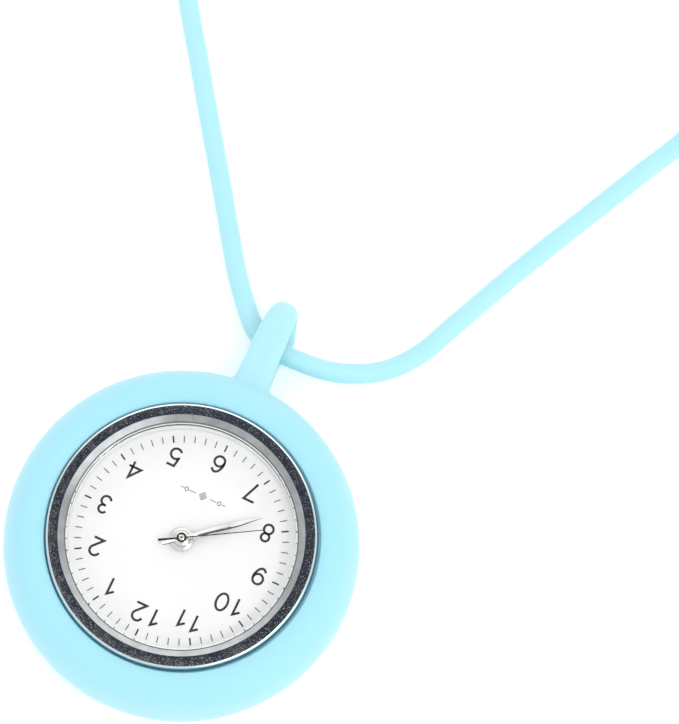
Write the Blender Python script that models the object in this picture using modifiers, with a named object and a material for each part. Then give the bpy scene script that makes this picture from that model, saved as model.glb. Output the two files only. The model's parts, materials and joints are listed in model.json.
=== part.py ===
"""Fob watch: a quartz watch head held in a soft silicone ring, on a silicone neck cord.

Frame: the watch lies on its back. The origin is the centre of the case back, +Z comes out of the
dial, +Y points at 6 o'clock, where the hanging loop is, and +X points at 9 o'clock.
All dimensions below are millimetres; MM turns them into Blender's metres.
"""
import math

import bmesh
import bpy
from mathutils import Vector

MM = 0.001
WELD = 1e-7                      # metres; closes the seams of turned and filled shapes
AXIS_TILT = (0.0, -math.pi / 2, 0.0)     # turns a piece's own +Z to point along -X, out of the crown

# ---- silicone ring and hanging loop ----
RING_CENTRE_R = 17.9             # where the doughnut's back and front are level
RING_SPREAD = 3.7                # from there to the widest point
GIRTH_Z = 5.5                    # height of the widest point
FRONT_LIP_R = 16.6
FRONT_LIP_Z = 10.45
NECK_Z = 9.75
POCKET_R = 17.2                  # holds the case, wider than the lip
POCKET_FLOOR_Z = 1.2
BACK_OPENING_R = 12.5
CROWN_POCKET_R = 2.3
CROWN_POCKET_END = 20.1          # distance from the watch's axis
# the strap's centre line: x, y, z, width and thickness, from the ring's front round to its back
STRAP_LINE = (
    (-0.55, 18.4, 7.95, 5.1, 2.2), (-0.70, 20.4, 7.40, 4.75, 2.2), (-0.88, 23.0, 6.90, 4.4, 2.2),
    (-1.02, 26.0, 6.78, 4.2, 2.2), (-1.12, 29.0, 6.50, 4.1, 2.25), (-1.18, 31.2, 5.65, 3.8, 2.4),
    (-1.20, 32.25, 4.10, 3.35, 2.6), (-1.00, 31.4, 2.50, 3.6, 2.4), (-0.60, 29.2, 1.62, 4.0, 2.2),
    (-0.98, 26.6, 1.35, 3.7, 2.2), (-1.00, 23.0, 1.35, 4.0, 2.2), (-0.85, 20.4, 1.60, 4.5, 2.2),
    (-0.65, 18.6, 2.20, 4.9, 2.2),
)

# ---- watch head ----
CASE_R = 17.0
CASE_BORE_R = 15.5
BEZEL_R = 16.44
CRYSTAL_R = 13.95
CRYSTAL_Z = (9.75, 10.85)
DIAL_R = 14.5
DIAL_Z = (7.5, 7.9)
DIAL_HOLE_R = 1.05
BACK_BOSS_R = 12.1               # raised middle of the case back, level with the silicone's back
HOLDER_BORE_R = 9.95

# ---- hands: angle from +X at rest, counter-clockwise seen from the front, for about 7:38:39 ----
SECOND_ANGLE = 30.7
MINUTE_ANGLE = 39.9
HOUR_ANGLE = 90 - 30 * (7 + (38 + 39 / 60) / 60 - 6)
HOUR_LENGTH, MINUTE_LENGTH, SECOND_LENGTH, MINUTE_TAIL, SECOND_TAIL = 6.4, 10.0, 9.9, 2.4, 2.85
HOUR_HAND_Z, MINUTE_HAND_Z, SECOND_HAND_Z = (8.28, 8.43), (8.70, 8.82), (9.14, 9.24)

# ---- movement ----
PLATE_R, PLATE_Z = 9.7, (5.3, 6.3)
BRIDGE_R, BRIDGE_Z = 9.3, (2.95, 3.35)
STEM_Z = 5.35                    # height of the winding stem's axis
BATTERY_AT, BATTERY_R, BATTERY_Z = (0.0, -6.1), 3.4, (2.2, 4.8)
SCREWS_AT = ((-6.2, 4.6), (1.6, 7.9), (4.4, -2.6))
LEVER_PIVOT = (-8.7, 2.4)
COIL_X, COIL_Y, COIL_Z = 6.9, 0.9, 4.35
CROWN_PULL = 0.8                 # how far the crown pulls out to set the hands

# teeth, and module in mm, of each pair in mesh: driver's pinion or wheel first
MODULE_SECONDS, MODULE_ROTOR = 0.16, 0.11
MODULE_THIRD, MODULE_CANNON, MODULE_HOUR = 0.11, 0.15, 0.16
ROTOR_PINION, MIDDLE_WHEEL = 6, 36
MIDDLE_PINION, FOURTH_WHEEL = 6, 30
FOURTH_PINION, THIRD_WHEEL = 6, 45
THIRD_PINION, CENTRE_WHEEL = 6, 48
CANNON_PINION, MINUTE_WHEEL = 8, 24
MINUTE_PINION, HOUR_WHEEL = 6, 24
SETTING_WHEEL = 10


def pair_distance(module, teeth_a, teeth_b):
    return module * (teeth_a + teeth_b) / 2


MIDDLE_AT = Vector((pair_distance(MODULE_SECONDS, MIDDLE_PINION, FOURTH_WHEEL), 0))
ROTOR_DIRECTION = math.radians(50)
ROTOR_AT = MIDDLE_AT + pair_distance(MODULE_ROTOR, ROTOR_PINION, MIDDLE_WHEEL) * Vector(
    (math.cos(ROTOR_DIRECTION), math.sin(ROTOR_DIRECTION)))
THIRD_DIRECTION = math.radians(100)
THIRD_DISTANCE = pair_distance(MODULE_THIRD, FOURTH_PINION, THIRD_WHEEL)
THIRD_AT = THIRD_DISTANCE * Vector((math.cos(THIRD_DIRECTION), math.sin(THIRD_DIRECTION)))
MODULE_CENTRE = 2 * THIRD_DISTANCE / (THIRD_PINION + CENTRE_WHEEL)
MINUTE_AT = Vector((-pair_distance(MODULE_CANNON, CANNON_PINION, MINUTE_WHEEL), 0))
SETTING_AT = MINUTE_AT - Vector((pair_distance(MODULE_CANNON, SETTING_WHEEL, MINUTE_WHEEL), 0))

# ---- neck cord: one 2.5 mm cord, its spare length wound in a flat coil of two layers ----
CORD_D = 2.5
CORD_R = CORD_D / 2
COIL_CENTRE = (20.0, 114.0)
COIL_OUTER_TURN_R = 18.0
COIL_INNER_TURN_R = 9.87
COIL_HEIGHT = 5.2
JOINER_AT = (-14.0, 105.4, 2.05)
JOINER_DIRECTION = math.radians(45)
JOINER_LENGTH, JOINER_R = 12.0, 2.0
TOUCH_GAP = 0.3                  # left between pieces that meet
# the cord from the coil's outer turn, past 9 o'clock, through the loop and back up to the joiner
NECK_ROUTE = (
    (38.0, 103.4, 1.26), (37.9, 96.0, 1.26), (37.4, 88.0, 1.26), (36.2, 80.0, 1.26), (34.0, 74.1, 1.26),
    (31.5, 69.1, 1.26), (28.3, 62.4, 1.26), (24.0, 53.5, 1.26), (20.9, 46.7, 1.26), (17.9, 39.8, 1.26),
    (15.9, 35.3, 1.26), (13.2, 31.8, 1.32), (10.2, 29.7, 1.60), (6.9, 28.2, 2.45), (3.2, 27.45, 3.55),
    (-0.4, 27.5, 3.98), (-3.6, 28.75, 3.40), (-6.4, 31.7, 2.25), (-9.2, 35.2, 1.45), (-11.6, 38.6, 1.26),
    (-16.1, 45.1, 1.26), (-20.7, 51.6, 1.26), (-25.3, 58.2, 1.26), (-30.0, 64.9, 1.26), (-33.6, 71.2, 1.26),
    (-35.4, 78.0, 1.26), (-34.4, 84.6, 1.26), (-30.0, 89.9, 1.40), (-24.4, 95.1, 1.80), (-18.5, 100.95, 2.04),
)
# and from the joiner's other end to the coil's upper layer
TAIL_ROUTE = (
    (-9.45, 109.95, 2.04), (-6.0, 113.4, 1.85), (-3.0, 116.4, 1.60), (-0.2, 119.2, 1.90),
)
ROUTE_STEP = 5.0                 # spacing of the tube's points along the cord

MATERIALS = {
    "silicone": ((0.50, 0.92, 1.00), 0.45, 0.0), "cord_silicone": ((0.52, 0.95, 1.00), 0.45, 0.0),
    "polished_steel": ((0.80, 0.81, 0.83), 0.10, 1.0), "bezel_steel": ((0.60, 0.61, 0.63), 0.12, 1.0),
    "brushed_steel": ((0.62, 0.63, 0.65), 0.35, 1.0), "mineral_glass": ((1.0, 1.0, 1.0), 0.02, 0.0),
    "gasket_rubber": ((0.05, 0.05, 0.05), 0.60, 0.0), "dial_white": ((0.95, 0.96, 0.96), 0.45, 0.0),
    "hand_steel": ((0.75, 0.75, 0.76), 0.12, 1.0), "brass": ((0.80, 0.62, 0.28), 0.25, 1.0),
    "holder_plastic": ((0.88, 0.88, 0.86), 0.50, 0.0), "plate_plastic": ((0.16, 0.17, 0.18), 0.45, 0.0),
    "circuit": ((0.05, 0.24, 0.12), 0.45, 0.0), "chip": ((0.02, 0.02, 0.02), 0.40, 0.0),
    "copper_wire": ((0.72, 0.30, 0.12), 0.35, 1.0), "magnet": ((0.20, 0.20, 0.21), 0.40, 1.0),
    "gasket_nylon": ((0.22, 0.22, 0.215), 0.50, 0.0), "tie_band": ((0.85, 0.86, 0.86), 0.60, 0.0),
    "joiner_plastic": ((0.70, 0.95, 0.98), 0.35, 0.0),
}


def clear_scene():
    for obj in list(bpy.data.objects):
        bpy.data.objects.remove(obj, do_unlink=True)


def make_collection(name):
    collection = bpy.data.collections.new(name)
    bpy.context.scene.collection.children.link(collection)
    return collection


def make_materials():
    for name, (colour, roughness, metallic) in MATERIALS.items():
        material = bpy.data.materials.new(name)
        material.use_nodes = True
        shader = material.node_tree.nodes["Principled BSDF"]
        shader.inputs["Base Color"].default_value = (*colour, 1.0)
        shader.inputs["Roughness"].default_value = roughness
        shader.inputs["Metallic"].default_value = metallic


def add_object(name, data, material, at=(0, 0, 0), rotation=(0, 0, 0)):
    """A part in the watch's collection, or a cutter or joined piece if material is None."""
    obj = bpy.data.objects.new(name, data)
    obj.location = Vector(at) * MM
    obj.rotation_euler = rotation
    if material:
        data.materials.append(bpy.data.materials[material])
        PARTS.objects.link(obj)
    else:
        obj.hide_render = True
        obj.display_type = "WIRE"
        CUTTERS.objects.link(obj)
    return obj


def smooth(mesh, angle=35):
    mesh.shade_smooth()
    mesh.set_sharp_from_angle(angle=math.radians(angle))


def turned(name, profile, material, at=(0, 0, 0), rotation=(0, 0, 0), segments=48):
    """A profile of (radius, height) points, running down its outer side, turned about its own Z.

    It is a closed ring unless it starts and ends on the axis.
    """
    mesh = bpy.data.meshes.new(name)
    count = len(profile)
    on_axis = profile[0][0] == 0 and profile[-1][0] == 0
    edges = [(i, i + 1) for i in range(count - 1)]
    if not on_axis:
        edges.append((count - 1, 0))
    mesh.from_pydata([(r * MM, 0, z * MM) for r, z in profile], edges, [])
    obj = add_object(name, mesh, material, at, rotation)
    screw = obj.modifiers.new("Screw", "SCREW")
    screw.steps = screw.render_steps = segments
    screw.use_merge_vertices = True
    screw.merge_threshold = WELD
    screw.use_smooth_shade = True
    return obj


def tube_profile(inner, outer, low, high):
    return [(inner, high), (outer, high), (outer, low), (inner, low)]


def rod_profile(*steps):
    """Steps (radius, top, bottom) from the top down, as a solid of revolution."""
    profile = [(0, steps[0][1])]
    for radius, top, bottom in steps:
        profile += [(radius, top), (radius, bottom)]
    return profile + [(0, steps[-1][2])]


def circle(radius, at=(0, 0), count=24, start=0.0):
    return [(at[0] + radius * math.cos(start + math.tau * i / count),
             at[1] + radius * math.sin(start + math.tau * i / count)) for i in range(count)]


def arc(at, radius, start, end, count):
    """Points along an arc, angles in degrees, both ends included."""
    step = math.radians(end - start) / (count - 1)
    return [(at[0] + radius * math.cos(math.radians(start) + step * i),
             at[1] + radius * math.sin(math.radians(start) + step * i)) for i in range(count)]


def gear_outline(teeth, module, tooth_at):
    """Pointed teeth, three points each; one is centred on the direction tooth_at, in radians."""
    pitch = math.tau / teeth
    pitch_r = module * teeth / 2
    root_r, tip_r = pitch_r - 1.1 * module, pitch_r + 0.8 * module
    root_half = 0.34 * pitch
    points = []
    for i in range(teeth):
        centre = tooth_at + i * pitch
        for radius, turn in ((root_r, -root_half), (tip_r, 0), (root_r, root_half)):
            points.append((radius * math.cos(centre + turn), radius * math.sin(centre + turn)))
    return points


def gap_at(teeth, direction):
    """The tooth direction that puts a gap on the given direction."""
    return direction + math.pi / teeth


def plate(name, outlines, low, high, material=None, at=(0, 0), rotation=(0, 0, 0)):
    """Flat outlines, holes included, extruded from low to high, as one welded mesh."""
    curve = bpy.data.curves.new(name, "CURVE")
    curve.dimensions = "2D"
    curve.fill_mode = "BOTH"
    curve.extrude = (high - low) / 2 * MM
    for outline in outlines:
        spline = curve.splines.new("POLY")
        spline.points.add(len(outline) - 1)
        for point, (x, y) in zip(spline.points, outline):
            point.co = (x * MM, y * MM, 0, 1)
        spline.use_cyclic_u = True
    guide = add_object(name + "_outline", curve, None)
    bpy.context.view_layer.update()
    mesh = bpy.data.meshes.new_from_object(guide.evaluated_get(bpy.context.evaluated_depsgraph_get()))
    bpy.data.objects.remove(guide)
    bm = bmesh.new()
    bm.from_mesh(mesh)
    bmesh.ops.remove_doubles(bm, verts=bm.verts, dist=WELD)
    bmesh.ops.translate(bm, verts=bm.verts, vec=(0, 0, (low + high) / 2 * MM))
    bmesh.ops.recalc_face_normals(bm, faces=bm.faces)
    bm.to_mesh(mesh)
    bm.free()
    mesh.name = name
    mesh.materials.clear()
    smooth(mesh)
    return add_object(name, mesh, material, (*at, 0), rotation)


def cylinders(name, places, low, high, segments=20):
    """One cutter or joined piece made of upright cylinders (x, y, radius)."""
    bm = bmesh.new()
    for x, y, radius in places:
        made = bmesh.ops.create_cone(bm, cap_ends=True, segments=segments, radius1=radius * MM,
                                     radius2=radius * MM, depth=(high - low) * MM)
        bmesh.ops.translate(bm, verts=made["verts"], vec=(x * MM, y * MM, (low + high) / 2 * MM))
    mesh = bpy.data.meshes.new(name)
    bm.to_mesh(mesh)
    bm.free()
    return add_object(name, mesh, None)


def block(name, low, high, material=None):
    """A box between two corners."""
    bm = bmesh.new()
    bmesh.ops.create_cube(bm, size=1)
    low, high = Vector(low), Vector(high)
    bmesh.ops.scale(bm, verts=bm.verts, vec=(high - low) * MM)
    bmesh.ops.translate(bm, verts=bm.verts, vec=(low + high) / 2 * MM)
    mesh = bpy.data.meshes.new(name)
    bm.to_mesh(mesh)
    bm.free()
    return add_object(name, mesh, material)


def combine(obj, other, operation):
    """Join or cut, as a live modifier; other moves with obj's own place."""
    modifier = obj.modifiers.new(operation.title(), "BOOLEAN")
    modifier.operation = operation
    modifier.object = other
    return obj


def rod_along_x(name, radius, x_low, x_high, z, segments=24):
    """A cutter along X."""
    return turned(name, rod_profile((radius, x_high, x_low)), None, (0, 0, z), (0, math.pi / 2, 0), segments)


def smooth_route(points, step):
    """Points about `step` apart on a Catmull-Rom curve through the given ones."""
    points = [Vector(p) for p in points]
    padded = [2 * points[0] - points[1], *points, 2 * points[-1] - points[-2]]
    route = []
    for i in range(1, len(padded) - 2):
        a, b, c, d = padded[i - 1:i + 3]
        count = max(1, round((c - b).length / step))
        for k in range(count):
            t = k / count
            route.append(0.5 * (2 * b + (c - a) * t + (2 * a - 5 * b + 4 * c - d) * t ** 2
                                + (3 * b - a - 3 * c + d) * t ** 3))
    return route + [points[-1]]


def cord_tube(name, points, material):
    curve = bpy.data.curves.new(name, "CURVE")
    curve.dimensions = "3D"
    curve.bevel_depth = CORD_R * MM
    curve.bevel_resolution = 2
    curve.use_fill_caps = True
    spline = curve.splines.new("POLY")
    spline.points.add(len(points) - 1)
    for point, place in zip(spline.points, points):
        point.co = (*(place * MM), 1)
    return add_object(name, curve, material)


# ---------------------------------------------------------------- silicone case

def strap_mesh():
    """The hanging loop's strap: rounded sections swept along STRAP_LINE, capped inside the ring."""
    line = [Vector(p[:3]) for p in STRAP_LINE]
    sections = 10
    bm = bmesh.new()
    rings = []
    for i, (x, y, z, width, thickness) in enumerate(STRAP_LINE):
        before, after = line[max(i - 1, 0)], line[min(i + 1, len(line) - 1)]
        along = Vector((0, after.y - before.y, after.z - before.z)).normalized()
        out = Vector((0, -along.z, along.y))
        ring = []
        for k in range(sections):
            turn = math.tau * k / sections
            across = math.copysign(abs(math.cos(turn)) ** 0.8, math.cos(turn)) * width / 2
            lift = math.copysign(abs(math.sin(turn)) ** 0.8, math.sin(turn)) * thickness / 2
            ring.append(bm.verts.new((Vector((x + across, y, z)) + out * lift) * MM))
        rings.append(ring)
    for ring, following in zip(rings, rings[1:]):
        for k in range(sections):
            bm.faces.new((ring[k], ring[k - 1], following[k - 1], following[k]))
    bm.faces.new(rings[0])
    bm.faces.new(rings[-1])
    bmesh.ops.recalc_face_normals(bm, faces=bm.faces)
    mesh = bpy.data.meshes.new("strap")
    bm.to_mesh(mesh)
    bm.free()
    return mesh


def make_silicone_case():
    outer = [(RING_CENTRE_R + RING_SPREAD * math.cos(math.radians(a)),
              GIRTH_Z + GIRTH_Z * math.sin(math.radians(a))) for a in range(90, -91, -20)]
    profile = [(FRONT_LIP_R, FRONT_LIP_Z), (16.95, 10.85), *outer, (BACK_OPENING_R + 0.2, 0),
               (BACK_OPENING_R, 0.2), (BACK_OPENING_R, POCKET_FLOOR_Z), (16.2, POCKET_FLOOR_Z),
               (POCKET_R, 2.3), (POCKET_R, 9.25), (FRONT_LIP_R, NECK_Z)]
    case = turned("silicone_case", profile, "silicone", segments=48)
    combine(case, rod_along_x("crown_pocket", CROWN_POCKET_R, -CROWN_POCKET_END, -CASE_R + 2, STEM_Z),
            "DIFFERENCE")
    combine(case, add_object("strap", strap_mesh(), None), "UNION")


# ---------------------------------------------------------------- watch head

def make_case():
    profile = [(CASE_BORE_R, 9.3), (16.6, 9.3), (CASE_R, 8.9), (CASE_R, 2.65), (16.6, 2.2),
               (CASE_BORE_R, 2.2)]
    case = turned("watch_case", profile, "brushed_steel", segments=40)
    combine(case, rod_along_x("tube_hole", 1.0, -CASE_R - 1, -CASE_BORE_R + 1, STEM_Z), "DIFFERENCE")
    turned("crown_tube", tube_profile(0.52, 0.9, 14.6, 17.5), "polished_steel", (0, 0, STEM_Z), AXIS_TILT, 16)


def make_bezel_and_crystal():
    bezel = [(14.86, 11.36), (16.05, 11.12), (16.27, 10.98), (BEZEL_R, 10.70), (BEZEL_R, 9.40), (15.3, 9.40),
             (15.3, 8.70), (14.8, 8.70), (14.8, 9.40), (13.75, 9.40), (13.75, 9.65), (14.25, 9.65),
             (14.25, 10.68), (14.10, 10.68), (14.10, 10.86)]
    turned("bezel", bezel, "bezel_steel", segments=48)
    low, high = CRYSTAL_Z
    crystal = rod_profile((CRYSTAL_R - 0.15, high, high - 0.15), (CRYSTAL_R, high - 0.15, low))
    crystal.pop(2)
    turned("crystal", crystal, "mineral_glass")
    turned("crystal_gasket", tube_profile(14.0, 14.2, 9.75, 10.6), "gasket_nylon", segments=36)


def make_case_back():
    profile = [(0, 0.9), (11.0, 0.9), (12.3, 2.0), (14.5, 2.0), (14.5, 3.1), (15.0, 3.1), (15.0, 2.1),
               (16.0, 2.1), (16.0, 1.3), (12.3, 1.3), (BACK_BOSS_R, 1.1), (BACK_BOSS_R, 0.15),
               (BACK_BOSS_R - 0.15, 0), (0, 0)]
    turned("case_back", profile, "brushed_steel", segments=40)
    turned("case_back_gasket", tube_profile(15.08, 15.4, 2.3, 2.75), "gasket_rubber", segments=32)


def make_dial():
    plate("dial", [circle(DIAL_R, count=48), circle(DIAL_HOLE_R)], *DIAL_Z, "dial_white")
    profile = [(13.75, 9.2), (14.6, 9.2), (14.6, 8.0), (13.6, 8.0)]
    turned("dial_ring", profile, "holder_plastic", segments=40)
    holder = turned("movement_holder", tube_profile(HOLDER_BORE_R, 15.2, 3.4, 7.3), "holder_plastic",
                    segments=32)
    combine(holder, rod_along_x("stem_channel", 0.95, -16, -HOLDER_BORE_R + 1, STEM_Z), "DIFFERENCE")


# ---------------------------------------------------------------- hands

def make_hand(name, boss_r, hole_r, shape, heights, angle):
    """A flat hand pointing along its own +X: a round boss, with the blade's outline joined in."""
    hand = plate(name, [circle(boss_r, count=16), circle(hole_r, count=12)], *heights, "hand_steel",
                 rotation=(0, 0, math.radians(angle)))
    blade = plate(name + "_blade", [shape], *heights, rotation=(0, 0, math.radians(angle)))
    return combine(hand, blade, "UNION")


def blade_shape(root, shoulder, shoulder_x, length, root_half, tip_half):
    """Half widths at the boss, at the shoulder and at the tip."""
    upper = [(root, root_half), (shoulder_x, shoulder), (length, tip_half)]
    return [(x, -y) for x, y in upper] + upper[::-1]


def make_hands():
    make_hand("hour_hand", 1.25, 0.90, blade_shape(1.05, 0.42, 4.2, HOUR_LENGTH, 0.28, 0.06),
              HOUR_HAND_Z, HOUR_ANGLE)
    minute = make_hand("minute_hand", 0.85, 0.45, blade_shape(0.65, 0.34, 6.6, MINUTE_LENGTH, 0.22, 0.05),
                       MINUTE_HAND_Z, MINUTE_ANGLE)
    tail = [(-0.65, 0.24), (-MINUTE_TAIL, 0.2), (-MINUTE_TAIL, -0.2), (-0.65, -0.24)]
    turn = (0, 0, math.radians(MINUTE_ANGLE))
    combine(minute, plate("minute_hand_tail", [tail], *MINUTE_HAND_Z, rotation=turn), "UNION")
    second = make_hand("second_hand", 0.60, 0.13, blade_shape(0.4, 0.07, 5.0, SECOND_LENGTH, 0.08, 0.05),
                       SECOND_HAND_Z, SECOND_ANGLE)
    turn = (0, 0, math.radians(SECOND_ANGLE))
    tail = [(-0.4, 0.1), (-SECOND_TAIL, 0.15), (-SECOND_TAIL, -0.15), (-0.4, -0.1)]
    combine(second, plate("second_hand_tail", [tail], *SECOND_HAND_Z, rotation=turn), "UNION")
    combine(second, turned("second_hand_tube", tube_profile(0.13, 0.34, 9.0, 9.5), None, rotation=turn,
                           segments=12), "UNION")


# ---------------------------------------------------------------- wheel train

def make_wheel(name, at, arbor, discs, material="brass"):
    """An arbor or pipe profile with toothed discs (outline, bore or None, low, high) joined to it."""
    place = (at[0], at[1], 0)
    wheel = turned(name, arbor, material, place, segments=12)
    for i, (outline, bore, low, high) in enumerate(discs):
        outlines = [outline, circle(bore, count=12)] if bore else [outline]
        combine(wheel, plate(f"{name}_disc_{i}", outlines, low, high, at=at), "UNION")
    return wheel


def make_train():
    to_middle, back = 0.0, math.pi
    fourth = [(gear_outline(FOURTH_WHEEL, MODULE_SECONDS, to_middle), None, 4.0, 4.2),
              (gear_outline(FOURTH_PINION, MODULE_THIRD, THIRD_DIRECTION), None, 4.15, 4.72)]
    make_wheel("fourth_wheel", (0, 0), rod_profile((0.10, 9.42, 4.8), (0.13, 4.8, 3.1)), fourth)
    middle = [(gear_outline(MIDDLE_PINION, MODULE_SECONDS, gap_at(MIDDLE_PINION, back)), None, 3.7, 4.3),
              (gear_outline(MIDDLE_WHEEL, MODULE_ROTOR, ROTOR_DIRECTION), None, 3.6, 3.75)]
    make_wheel("intermediate_wheel", MIDDLE_AT, rod_profile((0.12, 5.5, 3.1)), middle)
    third = [(gear_outline(THIRD_WHEEL, MODULE_THIRD, gap_at(THIRD_WHEEL, THIRD_DIRECTION + back)), None,
              4.5, 4.66),
             (gear_outline(THIRD_PINION, MODULE_CENTRE, THIRD_DIRECTION + back), None, 4.6, 5.2)]
    make_wheel("third_wheel", THIRD_AT, rod_profile((0.12, 5.5, 3.1)), third)
    centre = [(gear_outline(CENTRE_WHEEL, MODULE_CENTRE, gap_at(CENTRE_WHEEL, THIRD_DIRECTION)), 0.2,
               4.95, 5.12)]
    make_wheel("centre_wheel", (0, 0), tube_profile(0.14, 0.26, 4.8, 8.3), centre)
    cannon = [(gear_outline(CANNON_PINION, MODULE_CANNON, back), 0.35, 6.42, 6.78)]
    make_wheel("cannon_pinion", (0, 0), tube_profile(0.29, 0.42, 6.4, 8.92), cannon)
    minute = [(gear_outline(MINUTE_WHEEL, MODULE_CANNON, gap_at(MINUTE_WHEEL, 0.0)), 0.22, 6.47, 6.68),
              (gear_outline(MINUTE_PINION, MODULE_HOUR, 0.0), 0.22, 6.6, 7.3)]
    make_wheel("minute_wheel", MINUTE_AT, tube_profile(0.18, 0.26, 6.45, 7.34), minute)
    hour = [(gear_outline(HOUR_WHEEL, MODULE_HOUR, gap_at(HOUR_WHEEL, back)), 0.6, 7.05, 7.26)]
    make_wheel("hour_wheel", (0, 0), tube_profile(0.5, 0.85, 7.0, 8.55), hour)
    # the minute wheel's even count puts a gap opposite the one towards the centre
    setting = [(gear_outline(SETTING_WHEEL, MODULE_CANNON, 0.0), 0.32, 6.47, 6.68)]
    make_wheel("setting_wheel", SETTING_AT, tube_profile(0.28, 0.42, 6.4, 6.74), setting, "polished_steel")


def make_motor():
    pinion = [(gear_outline(ROTOR_PINION, MODULE_ROTOR, gap_at(ROTOR_PINION, ROTOR_DIRECTION + math.pi)),
               None, 3.45, 3.9)]
    arbor = rod_profile((0.12, 5.5, 5.05), (0.72, 5.05, 4.3), (0.16, 4.3, 3.4), (0.12, 3.4, 3.1))
    make_wheel("rotor", ROTOR_AT, arbor, pinion, "magnet")
    x, y = ROTOR_AT
    pads = ((COIL_X, COIL_Y + 4.35), (COIL_X, COIL_Y - 4.35))
    inner_edge = x + 1.36
    outline = [*arc(pads[0], 0.8, -90, 110, 8), *arc((x, y), 1.55, 135, 225, 7),
               *arc(pads[1], 0.8, -110, 90, 8),
               (inner_edge, pads[1][1] + 0.8), (inner_edge, pads[0][1] - 0.8)]
    plate("stator", [outline, circle(1.0, (x, y))], COIL_Z + 0.22, COIL_Z + 0.52, "brushed_steel")
    core = [*arc(pads[0], 0.75, 0, 180, 7), *arc(pads[1], 0.75, 180, 360, 7)]
    waist = [(COIL_X + 0.3, COIL_Y - 3.4), (COIL_X + 0.3, COIL_Y + 3.4)]
    other = [(COIL_X - 0.3, COIL_Y + 3.4), (COIL_X - 0.3, COIL_Y - 3.4)]
    outline = [*waist, *core[:7], *other, *core[7:]]
    plate("coil_core", [outline], COIL_Z - 0.15, COIL_Z + 0.15, "brushed_steel")
    winding = [(0.42, 3.2), (0.9, 3.2), (0.9, 3.0), (0.78, 3.0), (0.78, -3.0), (0.9, -3.0), (0.9, -3.2),
               (0.42, -3.2)]
    turned("coil_winding", winding, "copper_wire", (COIL_X, COIL_Y, COIL_Z), (math.pi / 2, 0, 0), 16)


# ---------------------------------------------------------------- plates and small movement parts

def make_plates():
    main = plate("main_plate", [circle(PLATE_R, count=40), circle(0.62, count=16)], *PLATE_Z, "plate_plastic")
    pillars = cylinders("pillars", [(x, y, 0.8) for x, y in SCREWS_AT], BRIDGE_Z[1] + 0.08, 5.7, 14)
    combine(main, pillars, "UNION")
    combine(main, cylinders("wheel_posts", [(*MINUTE_AT, 0.14), (*SETTING_AT, 0.22)], 6.2, 7.2, 12), "UNION")
    combine(main, cylinders("lever_post", [(*LEVER_PIVOT, 0.35)], 4.5, 5.7, 12), "UNION")
    combine(main, block("stem_slot", (-11, -0.95, 4.0), (-3.6, 0.95, 6.05)), "DIFFERENCE")
    combine(main, cylinders("pivot_holes", [(*MIDDLE_AT, 0.17), (*THIRD_AT, 0.17), (*ROTOR_AT, 0.17)],
                            5.0, 5.75, 12), "DIFFERENCE")
    combine(main, cylinders("screw_holes", [(x, y, 0.36) for x, y in SCREWS_AT], 3.0, 5.6, 12), "DIFFERENCE")

    bridge = plate("train_bridge", [circle(BRIDGE_R, count=36)], *BRIDGE_Z, "brushed_steel")
    combine(bridge, cylinders("battery_room", [(*BATTERY_AT, BATTERY_R + 0.35)], 2, 4, 40), "DIFFERENCE")
    combine(bridge, block("can_room", (-12, -12, 2), (-2.5, -1.6, 4)), "DIFFERENCE")
    combine(bridge, block("lower_side", (-12, -12, 2), (12, -3.9, 4)), "DIFFERENCE")
    holes = [(0, 0, 0.18), (*MIDDLE_AT, 0.17), (*THIRD_AT, 0.17), (*ROTOR_AT, 0.17)]
    holes += [(x, y, 0.36) for x, y in SCREWS_AT]
    combine(bridge, cylinders("bridge_holes", holes, 2, 4, 12), "DIFFERENCE")

    for number, (x, y) in enumerate(SCREWS_AT, start=1):
        screw = turned(f"bridge_screw_{number}", rod_profile((0.3, 5.3, 2.9), (0.62, 2.9, 2.55)),
                       "polished_steel", (x, y, 0), segments=12)
        slot = block(f"screw_slot_{number}", (x - 1, y - 0.1, 2.3), (x + 1, y + 0.1, 2.68))
        combine(screw, slot, "DIFFERENCE")


def make_electrics():
    low, high = BATTERY_Z
    rim = 0.25
    profile = rod_profile((BATTERY_R - 0.5, high, high - 0.2), (BATTERY_R, high - 0.2, low + rim))
    profile[-1:] = [(BATTERY_R - rim, low), (0, low)]
    turned("battery", profile, "polished_steel", (*BATTERY_AT, 0), segments=32)
    strap = [*arc((3.6, 0), 1.0, -90, 90, 7), *arc((-3.6, 0), 1.0, 90, 270, 7)]
    plate("battery_clamp", [strap], 1.85, 2.05, "polished_steel", BATTERY_AT)
    board = [(-3.7, -1.5), (-8.6, -1.5), (-8.6, -3.2), (-6.3, -6.6), (-3.9, -6.6)]
    plate("circuit_board", [board[::-1]], 4.95, 5.15, "circuit")
    block("controller_chip", (-5.9, -3.2, 4.45), (-4.1, -1.8, 4.88), "chip")
    can = rod_profile((0.72, 2.4, -2.4))
    can[1:2] = [(0.5, 2.4), (0.72, 2.2)]
    turned("quartz_resonator", can, "polished_steel", (-6.0, -4.85, 4.1),
           (math.pi / 2, 0, math.radians(39)), 20)


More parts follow.
